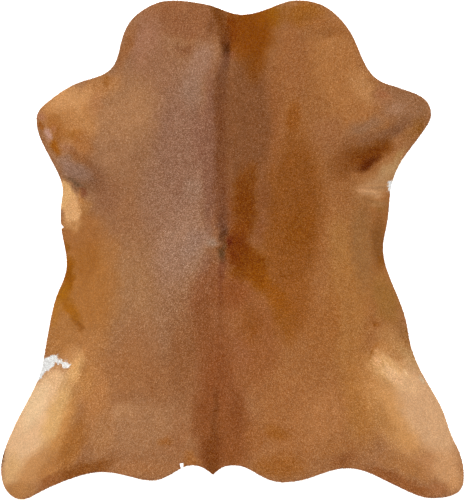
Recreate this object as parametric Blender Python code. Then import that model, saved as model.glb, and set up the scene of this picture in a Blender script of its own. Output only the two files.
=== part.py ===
"""A hair-on calf hide lying hair side up: one thin uneven sheet in metres, +Z up, neck towards +Y.

The origin is on the surface that the hide lies on, below the middle of its outline.
"""

import math
from collections import namedtuple

import bmesh
import bpy
from mathutils import Vector

# Driving dimensions. The tables below are in millimetres on a hide of TABLE_LENGTH, so HIDE_LENGTH
# scales the whole outline and its folds.
HIDE_LENGTH = 0.995
TABLE_LENGTH = 995
UNIT = HIDE_LENGTH / TABLE_LENGTH
SKIN = 0.0016
COAT = 0.0024

# Squares of the sheet along each of its four edges
SQUARES = 52
EVENING_PASSES = 12
EVENING_STEP = 0.5

# How far a nick's cutter reaches past the sheet on every side
CUTTER_SPARE = 0.006
# The tallest fold is lower than this
CUTTER_HEIGHT = 0.03

HAIR_COLOUR = (0.335, 0.137, 0.048, 1.0)
HAIR_ROUGHNESS = 0.55

# A point that the outline passes through, and the way it travels there, in degrees from +X. Where the
# outline has a corner, leaving is the heading after it.
Landmark = namedtuple("Landmark", "name x y heading leaving", defaults=[None])

# The hind edge, from the left hind shank round the rump and the tail root to the right hind shank
HIND_EDGE = (
    Landmark("left_hind_toe", -449.5, -481, -54),
    Landmark("left_hind_sole", -420, -498, 0),
    Landmark("left_hind_heel", -381, -482, 27),
    Landmark("left_hock", -308, -452, 18),
    Landmark("left_thigh_hollow", -258, -443.5, 0),
    Landmark("left_rump_slope", -210, -451, -14),
    Landmark("left_rump_lobe", -160, -460.5, 0),
    Landmark("left_rump_rise", -122, -448, 30),
    Landmark("left_tail_scallop", -80, -430, 0),
    Landmark("left_tail_side", -57, -435.5, -29),
    Landmark("tail_root", -38, -449, -41, 47),
    Landmark("right_tail_side", -20, -434.5, 26),
    Landmark("right_tail_scallop", 4, -430, 0),
    Landmark("right_rump_drop", 43, -443, -31),
    Landmark("right_rump_lobe", 100, -464, 0),
    Landmark("right_rump_slope", 152, -456, 17),
    Landmark("right_thigh_hollow", 229, -436, 0),
    Landmark("right_hock", 286, -450.5, -26),
    Landmark("right_hind_heel", 333, -473.5, -25),
    Landmark("right_hind_pad", 359, -485.5, -23),
    Landmark("right_hind_sole", 398, -495.5, 0),
    Landmark("right_hind_ball", 440, -489.5, 21),
    Landmark("right_hind_toe", 460, -470, 74),
)

# The neck edge, from the left fore shank over the neck to the right fore shank
NECK_EDGE = (
    Landmark("left_fore_toe", -390, 264, 85),
    Landmark("left_fore_shank", -356, 304, 38),
    Landmark("left_shoulder", -302, 335, 19),
    Landmark("left_neck_notch", -243, 360, 43),
    Landmark("left_neck_side", -222, 413, 76),
    Landmark("left_cheek", -193, 467, 41),
    Landmark("left_crown", -125, 497, 2),
    Landmark("left_nape", -50, 489, -12),
    Landmark("nape_hollow", 20, 469, 0),
    Landmark("right_nape", 77, 483, 21),
    Landmark("right_crown", 131, 497.5, 0),
    Landmark("right_cheek", 198, 477, -39),
    Landmark("right_neck_side", 238, 431, -60),
    Landmark("right_neck_root", 262, 377, -64),
    Landmark("right_neck_notch", 286, 343, -40),
    Landmark("right_shoulder", 333, 323, -20),
    Landmark("right_fore_shank", 381, 303, -36),
    Landmark("right_fore_toe", 397, 272, -90),
)

# The left side, from the hind shank up the flank to the fore shank
LEFT_EDGE = (
    Landmark("left_hind_toe", -449.5, -481, 126),
    Landmark("left_hind_side", -461, -438, 90),
    Landmark("left_hind_shin", -433, -350, 66),
    Landmark("left_stifle", -388, -261, 67),
    Landmark("left_flank", -372, -195, 80),
    Landmark("left_belly", -356, -112, 76),
    Landmark("left_waist_slope", -342, -73, 65),
    Landmark("left_waist", -330, -27, 90),
    Landmark("left_girth", -341, 45, 96),
    Landmark("left_armpit_low", -341, 88, 85),
    Landmark("left_armpit", -338, 120, 93),
    Landmark("left_forearm", -359, 176, 117),
    Landmark("left_fore_toe", -390, 264, 85),
)

# The right side, from the hind shank up the flank to the fore shank
RIGHT_EDGE = (
    Landmark("right_hind_toe", 460, -470, 74),
    Landmark("right_hind_side", 461.5, -438, 94),
    Landmark("right_hind_shin", 444, -384, 119),
    Landmark("right_hind_knee", 427, -340, 107),
    Landmark("right_stifle", 390, -266, 121),
    Landmark("right_flank", 359, -200, 108),
    Landmark("right_belly", 344, -131, 106),
    Landmark("right_waist_slope", 317.5, -63, 112),
    Landmark("right_waist", 301, 3, 90),
    Landmark("right_girth", 309.5, 55, 80),
    Landmark("right_armpit", 318, 129, 78),
    Landmark("right_forearm", 347, 191, 53),
    Landmark("right_elbow", 383, 239, 55),
    Landmark("right_fore_toe", 397, 272, 90),
)

# Places where the hide doesn't lie flat. Each is a smooth swelling: its middle, the way it runs, half its
# length, how far it reaches to the left and to the right of that way, and its height.
Fold = namedtuple("Fold", "name x y heading along left right height")
FOLDS = (
    Fold("spine_ridge", -22, 160, 90, 345, 56, 40, 4.5),
    Fold("loin_ridge", -32, -270, 88, 185, 44, 38, 3.0),
    Fold("withers_whorl", -18, 14, 90, 34, 28, 26, 3.0),
    Fold("left_armpit_fold", -312, 160, -42, 70, 54, 37, 13.0),
    Fold("left_shank_roll", -324, 276, -28, 60, 36, 32, 6.0),
    Fold("left_shoulder_wave", -246, 316, 24, 60, 34, 34, 4.0),
    Fold("right_armpit_fold", 288, 243, 36, 92, 58, 46, 13.0),
    Fold("right_elbow_roll", 328, 168, 55, 60, 28, 28, 4.5),
    Fold("left_flank_fold", -322, -262, 77, 82, 46, 32, 8.0),
    Fold("left_thigh_swell", -352, -375, 67, 96, 52, 44, 5.5),
    Fold("left_hind_curl", -424, -460, 60, 52, 40, 40, 4.0),
    Fold("right_flank_fold", 316, -234, -38, 78, 36, 42, 8.0),
    Fold("right_thigh_swell", 296, -350, -62, 104, 50, 50, 4.5),
    Fold("right_hind_curl", 428, -450, 105, 52, 40, 40, 4.5),
    Fold("left_belly_pucker", -316, -140, -48, 44, 22, 24, 4.0),
    Fold("right_belly_roll", 300, -50, 105, 92, 28, 28, 4.0),
    Fold("left_rump_wave", -168, -424, 0, 54, 40, 40, 3.5),
    Fold("right_rump_wave", 104, -422, 0, 60, 44, 44, 4.0),
    Fold("left_crown_wave", -140, 468, 10, 70, 36, 36, 3.5),
    Fold("right_crown_wave", 122, 480, -8, 58, 30, 30, 3.5),
    Fold("neck_crease", 174, 440, 10, 62, 22, 26, 3.5),
)

# Small cuts in the edge: the middle of the mouth, the way in, how deep, and how wide at mouth and end
Nick = namedtuple("Nick", "name x y heading depth mouth end")
NICKS = (
    Nick("girth_nick", -342, 46, -8, 5.5, 10.0, 1.5),
    Nick("rump_nick", -100, -435.5, 97, 9.5, 4.5, 7.5),
)


def direction(heading):
    """A unit vector at that many degrees from +X."""
    turn = math.radians(heading)
    return Vector((math.cos(turn), math.sin(turn)))


def span(start, end, count):
    """Points along the outline from just after one landmark to the next, on a curve close to an arc."""
    leaving = start.heading if start.leaving is None else start.leaving
    turn = math.radians((end.heading - leaving + 180) % 360 - 180)
    a = Vector((start.x, start.y)) * UNIT
    d = Vector((end.x, end.y)) * UNIT
    handle = (d - a).length / (3 * math.cos(turn / 4) ** 2)
    b = a + direction(leaving) * handle
    c = d - direction(end.heading) * handle
    points = []
    for i in range(1, count + 1):
        t = i / count
        s = 1 - t
        points.append(a * s**3 + b * 3 * s * s * t + c * 3 * s * t * t + d * t**3)
    return points


def shares(lengths, total):
    """Whole steps for each length, at least one each, which add up to total."""
    whole = sum(lengths)
    stops = [0]
    reached = 0
    for i, length in enumerate(lengths):
        reached += length
        spans_left = len(lengths) - 1 - i
        stop = max(round(reached / whole * total), stops[-1] + 1)
        stops.append(min(stop, total - spans_left))
    return [b - a for a, b in zip(stops, stops[1:])]


def edge_points(landmarks, squares):
    """One edge of the sheet in even steps, with a point on every landmark."""
    pairs = list(zip(landmarks, landmarks[1:]))
    lengths = [math.dist((a.x, a.y), (b.x, b.y)) for a, b in pairs]
    points = [Vector((landmarks[0].x, landmarks[0].y)) * UNIT]
    for (start, end), count in zip(pairs, shares(lengths, squares)):
        points += span(start, end, count)
    return points


def outline(squares):
    """The four edges: hind and neck from left to right, left and right from the hind to the neck."""
    return [edge_points(edge, squares) for edge in (HIND_EDGE, NECK_EDGE, LEFT_EDGE, RIGHT_EDGE)]


def place_in_outline(edges, squares, i, j):
    """Where corner i, j of a square net lies once the net is fitted smoothly into the four edges."""
    hind, neck, left, right = edges
    u = i / squares
    v = j / squares
    between_ends = hind[i] * (1 - v) + neck[i] * v
    between_sides = left[j] * (1 - u) + right[j] * u
    near = hind[0] * (1 - u) + hind[-1] * u
    far = neck[0] * (1 - u) + neck[-1] * u
    return between_ends + between_sides - near * (1 - v) - far * v


def fold_height(fold, x, y):
    """How high one fold stands at a place, in metres. It is nothing outside the fold's foot."""
    forwards = direction(fold.heading)
    away = Vector((x, y)) / UNIT - Vector((fold.x, fold.y))
    rightwards = away.cross(forwards)
    u = away.dot(forwards) / fold.along
    v = rightwards / (fold.right if rightwards > 0 else fold.left)
    inside = max(0.0, 1 - u * u - v * v)
    return fold.height * UNIT * inside**2


def lift(x, y):
    """How high the hide's underside is off the floor at a place."""
    return sum(fold_height(fold, x, y) for fold in FOLDS)


def fitted_net(squares):
    """A flat net of squares inside the outline, evened out away from its edges."""
    bm = bmesh.new()
    bmesh.ops.create_grid(bm, x_segments=squares, y_segments=squares, size=0.5)
    edges = outline(squares)
    for vert in bm.verts:
        i = round((vert.co.x + 0.5) * squares)
        j = round((vert.co.y + 0.5) * squares)
        vert.co = place_in_outline(edges, squares, i, j).to_3d()
    inner = [vert for vert in bm.verts if not vert.is_boundary]
    for _ in range(EVENING_PASSES):
        bmesh.ops.smooth_vert(bm, verts=inner, factor=EVENING_STEP, use_axis_x=True, use_axis_y=True)
    return bm


def cutter(nick):
    """A tapered wedge that cuts one nick out of the edge. It isn't a part of the hide."""
    inwards = direction(nick.heading)
    sideways = Vector((-inwards.y, inwards.x))
    mouth = Vector((nick.x, nick.y)) * UNIT
    flare = (nick.mouth - nick.end) / nick.depth
    reach = CUTTER_SPARE / UNIT
    corners = ((-reach, nick.mouth + flare * reach), (nick.depth, nick.end))
    bm = bmesh.new()
    ring = []
    for side, rows in ((1, corners), (-1, corners[::-1])):
        for deep, wide in rows:
            place = mouth + (inwards * deep + sideways * (side * wide / 2)) * UNIT
            ring.append(bm.verts.new((place.x, place.y, -CUTTER_SPARE)))
    floor = bm.faces.new(ring)
    made = bmesh.ops.extrude_face_region(bm, geom=[floor])["geom"]
    tops = [item for item in made if isinstance(item, bmesh.types.BMVert)]
    bmesh.ops.translate(bm, verts=tops, vec=(0, 0, CUTTER_HEIGHT + CUTTER_SPARE))
    bmesh.ops.recalc_face_normals(bm, faces=bm.faces)
    wedge = new_object(nick.name, bm)
    wedge.hide_render = True
    wedge.display_type = "WIRE"
    return wedge


def new_object(name, bm):
    """A scene object that holds the given mesh."""
    mesh = bpy.data.meshes.new(name)
    bm.to_mesh(mesh)
    bm.free()
    made = bpy.data.objects.new(name, mesh)
    bpy.context.scene.collection.objects.link(made)
    return made


def hair_material():
    """Short brown hair, lying flat and slightly glossy."""
    material = bpy.data.materials.new("brown_hair")
    material.use_nodes = True
    shader = material.node_tree.nodes["Principled BSDF"]
    shader.inputs["Base Color"].default_value = HAIR_COLOUR
    shader.inputs["Roughness"].default_value = HAIR_ROUGHNESS
    shader.inputs["Metallic"].default_value = 0.0
    return material


def hide():
    """The whole hide: skin and lying hair as one sheet, raised where it has folds, with its nicks cut."""
    bm = fitted_net(SQUARES)
    underside = list(bm.faces)
    for vert in bm.verts:
        vert.co.z = lift(vert.co.x, vert.co.y)
    made = bmesh.ops.extrude_face_region(bm, geom=underside)["geom"]
    tops = [item for item in made if isinstance(item, bmesh.types.BMVert)]
    bmesh.ops.translate(bm, verts=tops, vec=(0, 0, SKIN + COAT))
    bmesh.ops.recalc_face_normals(bm, faces=bm.faces)
    bmesh.ops.triangulate(bm, faces=bm.faces)
    sheet = new_object("hide", bm)
    sheet.data.shade_smooth()
    sheet.data.set_sharp_from_angle(angle=math.radians(50))
    sheet.data.materials.append(hair_material())
    for nick in NICKS:
        cut = sheet.modifiers.new(nick.name, "BOOLEAN")
        cut.operation = "DIFFERENCE"
        cut.object = cutter(nick)
    return sheet


def main():
    for old in list(bpy.data.objects):
        bpy.data.objects.remove(old)
    hide()


main()
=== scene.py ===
"""A hair-on calf hide laid flat, hair side up, on a pale studio floor. Metres, +Z up, neck towards +Y.

The skin is one thin sheet with the hide's outline and folds. Its coat is 440,000 short hairs, joined
into five meshes.
"""

import math
from collections import namedtuple

import bmesh
import bpy
import numpy as np
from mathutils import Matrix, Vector


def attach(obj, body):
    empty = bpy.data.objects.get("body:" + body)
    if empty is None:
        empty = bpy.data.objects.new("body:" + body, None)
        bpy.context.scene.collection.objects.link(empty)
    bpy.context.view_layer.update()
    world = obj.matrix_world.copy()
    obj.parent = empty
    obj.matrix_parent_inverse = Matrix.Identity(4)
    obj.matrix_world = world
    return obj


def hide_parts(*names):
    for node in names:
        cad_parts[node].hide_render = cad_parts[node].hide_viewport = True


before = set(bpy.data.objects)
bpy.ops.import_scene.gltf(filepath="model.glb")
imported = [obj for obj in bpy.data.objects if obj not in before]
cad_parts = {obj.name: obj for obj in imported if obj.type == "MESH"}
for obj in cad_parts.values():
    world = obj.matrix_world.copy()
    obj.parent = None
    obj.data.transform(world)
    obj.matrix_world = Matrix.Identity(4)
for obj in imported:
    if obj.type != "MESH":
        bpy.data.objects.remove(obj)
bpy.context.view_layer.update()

# Every length below is in millimetres, except where a comment says metres.
MM = 0.001

# The skin's thickness
SKIN = 1.6

# The skin is a net of this many squares along each edge. In each pass, every corner inside the outline moves
# that share of the way to the middle of its neighbours.
SQUARES = 144
EVENING_PASSES = 90
EVENING_STEP = 0.5

# The skin's materials in their order. A face belongs to the cut edge where its normal, of length 1, goes up
# or down by no more than this.
HAIR_SIDE, FLESH_SIDE, CUT_EDGE = range(3)
EDGE_RISE = 0.5

# How far the wedge that cuts a nick reaches out from the edge and down from the floor, and how tall it is
WEDGE_REACH = 6
WEDGE_DROP = 6
WEDGE_HEIGHT = 36

# The coat: how many hairs, the size of one, how far along it a hair is widest, how far it may hang over the
# edge, and the least share of its length that it keeps there. No root, middle or tip of a hair comes within
# the margin of a nick. Real calf hair is too fine and dense to show, so each one here is as broad as the part
# of a lock that shows past its neighbours.
HAIRS = 440000
HAIR_LENGTH = 3.3
HAIR_WIDTH = 1.15
HAIR_WIDEST = 0.4
HAIR_OVERHANG = 0.8
LEAST_SHARE = 0.05
NICK_MARGIN = 0.4
HAIR_PIECES = ("hair_rump", "hair_loin", "hair_back", "hair_withers", "hair_neck")
SEED = 7

# How hairs differ. Lengths and widths are shares of the usual ones, bow is a share of the hair's own length,
# and stray and roll are in radians. A root sinks into the skin, the middle rises off it and the tip further.
LENGTH_RANGE = (0.75, 1.2)
WIDTH_RANGE = (0.75, 1.25)
STRAY = 0.45
ROLL = 0.2
BOW = 0.07
ROOT_SINK = 0.1
MIDDLE_RISE = (0.2, 0.9)
TIP_RISE = (0.05, 0.25)

# Hairs lean into small locks: how far apart those are, how strongly they pull, and how far they turn, in
# radians. The field is a square round the hide that holds them all.
LOCK_PITCH = 3.4
LOCK_PULL = 0.2
LOCK_TURN = 0.3
LOCK_FIELD = 1100

# How much less red, green and blue the coat has than the tables' colours, and how far one hair's are from
# its neighbours', both on a scale of 255. A hair is between darkest and palest times that contrast away, and
# the skew makes pale ones rare.
WHITE_BALANCE = (0, 1, 3)
HAIR_CONTRAST = (34, 37, 38)
DARKEST, PALEST = -0.8, 1.2
TONE_SKEW = 1.5

# The photograph's frame, on the floor, and the camera's height in metres
VIEW_LENGTH = 998.2
VIEW_MIDDLE = (0.75, -0.45)
CAMERA_HEIGHT = 6.0
SENSOR = 24.0

# The studio: a softbox and a floor, in metres, with the floor just under the hide
KEY_PLACE = (-1.5, 6.5, 9.5)
KEY_SIZE = 6.0
KEY_WATTS = 1150
SURROUND_STRENGTH = 0.65
FLOOR_REACH = 6
FLOOR_DROP = 0.3 * MM

# Small enough to change nothing, where a divisor or the hair's heading would otherwise be nought
TINY = 1e-6

# Smooth noise is a sum of this many waves, whose lengths lie between these shares of its pitch. A ripple has
# its strength, its pitch and the seed that places its waves.
WAVES = 24
WAVE_RANGE = (0.6, 1.6)
Ripple = namedtuple("Ripple", "strength pitch seed")
ZONE_WANDER_X = (Ripple(2.0, 45, 11), Ripple(1.2, 14, 12))
ZONE_WANDER_Y = (Ripple(3.0, 45, 13), Ripple(1.5, 14, 14))
MOTTLING = (Ripple(0.012, 30, 15), Ripple(0.006, 9, 16))
MARK_WANDER_X = (Ripple(1.2, 8, 17),)
MARK_WANDER_Y = (Ripple(1.2, 8, 18),)
LAY_WANDER = (Ripple(0.15, 60, 21), Ripple(0.1, 12, 22))

# A point that the outline passes through, and the way it travels there, in degrees from +X. Where the
# outline has a corner, leaving is the heading after it.
Landmark = namedtuple("Landmark", "name x y heading leaving", defaults=[None])

# The hind edge, from the left hind shank round the rump and the tail root to the right hind shank
HIND_EDGE = (
    Landmark("left_hind_toe", -449.5, -481, -54),
    Landmark("left_hind_sole", -420, -498, 0),
    Landmark("left_hind_heel", -381, -482, 27),
    Landmark("left_hock", -308, -452, 18),
    Landmark("left_thigh_hollow", -258, -443.5, 0),
    Landmark("left_rump_slope", -210, -451, -14),
    Landmark("left_rump_lobe", -160, -460.5, 0),
    Landmark("left_rump_rise", -122, -448, 30),
    Landmark("left_tail_scallop", -80, -430, 0),
    Landmark("left_tail_side", -57, -435.5, -29),
    Landmark("tail_root", -38, -449, -41, 47),
    Landmark("right_tail_side", -20, -434.5, 26),
    Landmark("right_tail_scallop", 4, -430, 0),
    Landmark("right_rump_drop", 43, -443, -31),
    Landmark("right_rump_lobe", 100, -464, 0),
    Landmark("right_rump_slope", 152, -456, 17),
    Landmark("right_thigh_hollow", 229, -436, 0),
    Landmark("right_hock", 286, -450.5, -26),
    Landmark("right_hind_heel", 333, -473.5, -25),
    Landmark("right_hind_pad", 359, -485.5, -23),
    Landmark("right_hind_sole", 398, -495.5, 0),
    Landmark("right_hind_ball", 440, -489.5, 21),
    Landmark("right_hind_toe", 460, -470, 74),
)

# The neck edge, from the left fore shank over the neck to the right fore shank
NECK_EDGE = (
    Landmark("left_fore_toe", -390, 264, 85),
    Landmark("left_fore_shank", -356, 304, 38),
    Landmark("left_shoulder", -302, 335, 19),
    Landmark("left_neck_notch", -243, 360, 43),
    Landmark("left_neck_side", -222, 413, 76),
    Landmark("left_cheek", -193, 467, 41),
    Landmark("left_crown", -125, 497, 2),
    Landmark("left_nape", -50, 489, -12),
    Landmark("nape_hollow", 20, 469, 0),
    Landmark("right_nape", 77, 483, 21),
    Landmark("right_crown", 131, 497.5, 0),
    Landmark("right_cheek", 198, 477, -39),
    Landmark("right_neck_side", 238, 431, -60),
    Landmark("right_neck_root", 262, 377, -64),
    Landmark("right_neck_notch", 286, 343, -40),
    Landmark("right_shoulder", 333, 323, -20),
    Landmark("right_fore_shank", 381, 303, -36),
    Landmark("right_fore_toe", 397, 272, -90),
)

# The left side, from the hind shank up the flank to the fore shank
LEFT_EDGE = (
    Landmark("left_hind_toe", -449.5, -481, 126),
    Landmark("left_hind_side", -461, -438, 90),
    Landmark("left_hind_shin", -433, -350, 66),
    Landmark("left_stifle", -388, -261, 67),
    Landmark("left_flank", -372, -195, 80),
    Landmark("left_belly", -356, -112, 76),
    Landmark("left_waist_slope", -342, -73, 65),
    Landmark("left_waist", -330, -27, 90),
    Landmark("left_girth", -341, 45, 96),
    Landmark("left_armpit_low", -341, 88, 85),
    Landmark("left_armpit", -338, 120, 93),
    Landmark("left_forearm", -359, 176, 117),
    Landmark("left_fore_toe", -390, 264, 85),
)

# The right side, from the hind shank up the flank to the fore shank
RIGHT_EDGE = (
    Landmark("right_hind_toe", 460, -470, 74),
    Landmark("right_hind_side", 461.5, -438, 94),
    Landmark("right_hind_shin", 444, -384, 119),
    Landmark("right_hind_knee", 427, -340, 107),
    Landmark("right_stifle", 390, -266, 121),
    Landmark("right_flank", 359, -200, 108),
    Landmark("right_belly", 344, -131, 106),
    Landmark("right_waist_slope", 317.5, -63, 112),
    Landmark("right_waist", 301, 3, 90),
    Landmark("right_girth", 309.5, 55, 80),
    Landmark("right_armpit", 318, 129, 78),
    Landmark("right_forearm", 347, 191, 53),
    Landmark("right_elbow", 383, 239, 55),
    Landmark("right_fore_toe", 397, 272, 90),
)

# Places where the hide doesn't lie flat. Each is a smooth swelling: its middle, the way it runs, half its
# length, how far it reaches to the left and to the right of that way, and its height.
Fold = namedtuple("Fold", "name x y heading along left right height")
FOLDS = (
    Fold("spine_ridge", -22, 160, 90, 345, 56, 40, 4.5),
    Fold("loin_ridge", -32, -270, 88, 185, 44, 38, 3.0),
    Fold("withers_whorl", -18, 14, 90, 34, 28, 26, 3.0),
    Fold("left_armpit_fold", -312, 160, -42, 70, 54, 37, 13.0),
    Fold("left_shank_roll", -324, 276, -28, 60, 36, 32, 6.0),
    Fold("left_shoulder_wave", -246, 316, 24, 60, 34, 34, 4.0),
    Fold("right_armpit_fold", 288, 243, 36, 92, 58, 46, 13.0),
    Fold("right_elbow_roll", 328, 168, 55, 60, 28, 28, 4.5),
    Fold("left_flank_fold", -322, -262, 77, 82, 46, 32, 8.0),
    Fold("left_thigh_swell", -352, -375, 67, 96, 52, 44, 5.5),
    Fold("left_hind_curl", -424, -460, 60, 52, 40, 40, 4.0),
    Fold("right_flank_fold", 316, -234, -38, 78, 36, 42, 8.0),
    Fold("right_thigh_swell", 296, -350, -62, 104, 50, 50, 4.5),
    Fold("right_hind_curl", 428, -450, 105, 52, 40, 40, 4.5),
    Fold("left_belly_pucker", -316, -140, -48, 44, 22, 24, 4.0),
    Fold("right_belly_roll", 300, -50, 105, 92, 28, 28, 4.0),
    Fold("left_rump_wave", -168, -424, 0, 54, 40, 40, 3.5),
    Fold("right_rump_wave", 104, -422, 0, 60, 44, 44, 4.0),
    Fold("left_crown_wave", -140, 468, 10, 70, 36, 36, 3.5),
    Fold("right_crown_wave", 122, 480, -8, 58, 30, 30, 3.5),
    Fold("neck_crease", 174, 440, 10, 62, 22, 26, 3.5),
)

# Fine creases that lie over the folds, as low ridges
CREASES = (
    Fold("neck_wrinkle_upper", 170, 452, 12, 44, 6, 5, 1.4),
    Fold("neck_wrinkle_lower", 150, 398, 6, 34, 6, 6, 1.2),
    Fold("armpit_wrinkle_upper", 284, 126, 4, 42, 4, 5, 1.6),
    Fold("armpit_wrinkle_middle", 276, 114, -4, 40, 4, 5, 1.4),
    Fold("armpit_wrinkle_lower", 284, 98, -10, 32, 4, 5, 1.2),
    Fold("left_belly_crease", -300, -152, -44, 24, 5, 5, 1.8),
    Fold("right_whorl_crease_a", 292, -212, -34, 40, 4, 5, 1.6),
    Fold("right_whorl_crease_b", 306, -226, -40, 44, 4, 5, 1.8),
    Fold("right_whorl_crease_c", 316, -242, -44, 46, 4, 5, 1.6),
    Fold("right_whorl_crease_d", 326, -258, -46, 40, 4, 5, 1.4),
    Fold("right_whorl_crease_e", 300, -250, -58, 32, 4, 5, 1.3),
    Fold("left_flank_crease", -306, -232, 78, 40, 5, 5, 1.5),
    Fold("left_armpit_lip", -318, 128, -40, 34, 5, 5, 2.0),
)

# Small cuts in the edge: the middle of the mouth, the way in, how deep, and how wide at mouth and end
Nick = namedtuple("Nick", "name x y heading depth mouth end")
NICKS = (
    Nick("girth_nick", -342, 46, -8, 5.5, 10.0, 1.5),
    Nick("rump_nick", -100, -435.5, 97, 9.5, 4.5, 7.5),
)

# Which way the hair lies: near each place it points along the heading, and reach is how far that holds.
# It runs out from a whorl over the withers, forwards ahead of it and backwards behind it.
Lay = namedtuple("Lay", "name x y heading reach")
LAYS = (
    Lay("neck", -10, 440, 60, 110),
    Lay("left_neck", -150, 420, 40, 70),
    Lay("right_neck", 150, 430, 50, 90),
    Lay("left_neck_base", -80, 310, 145, 70),
    Lay("left_shoulder", -210, 270, 160, 100),
    Lay("left_fore_shank", -350, 270, 150, 60),
    Lay("left_armpit", -312, 110, 120, 44),
    Lay("left_girth", -250, 160, 176, 60),
    Lay("left_upper_back", -90, 190, 138, 70),
    Lay("upper_spine", -22, 190, 90, 34),
    Lay("right_upper_back", 60, 250, 42, 100),
    Lay("right_shoulder", 190, 280, 45, 110),
    Lay("right_fore_shank", 360, 270, 40, 60),
    Lay("right_armpit", 300, 130, 60, 46),
    Lay("right_ribs_front", 110, 140, 38, 64),
    Lay("left_ribs", -180, 50, -146, 90),
    Lay("right_ribs", 150, 0, -30, 90),
    Lay("left_back", -70, -90, -132, 70),
    Lay("right_back", 50, -90, -35, 60),
    Lay("left_loin", -70, -210, -130, 80),
    Lay("loin", 0, -260, -64, 60),
    Lay("tail_root", -45, -390, -98, 50),
    Lay("left_belly", -300, -80, -155, 80),
    Lay("left_flank", -340, -240, -145, 46),
    Lay("left_thigh", -260, -300, -135, 90),
    Lay("left_rump", -140, -350, -134, 80),
    Lay("left_hind_shank", -400, -390, -125, 90),
    Lay("right_belly", 290, -80, -45, 90),
    Lay("right_flank", 320, -225, -46, 44),
    Lay("right_thigh", 240, -290, -52, 80),
    Lay("right_rump", 120, -340, -42, 80),
    Lay("right_hind_shank", 400, -400, -60, 90),
    Lay("whorl_left", -42, 18, 172, 20),
    Lay("whorl_right", 0, 10, -28, 20),
)

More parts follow.
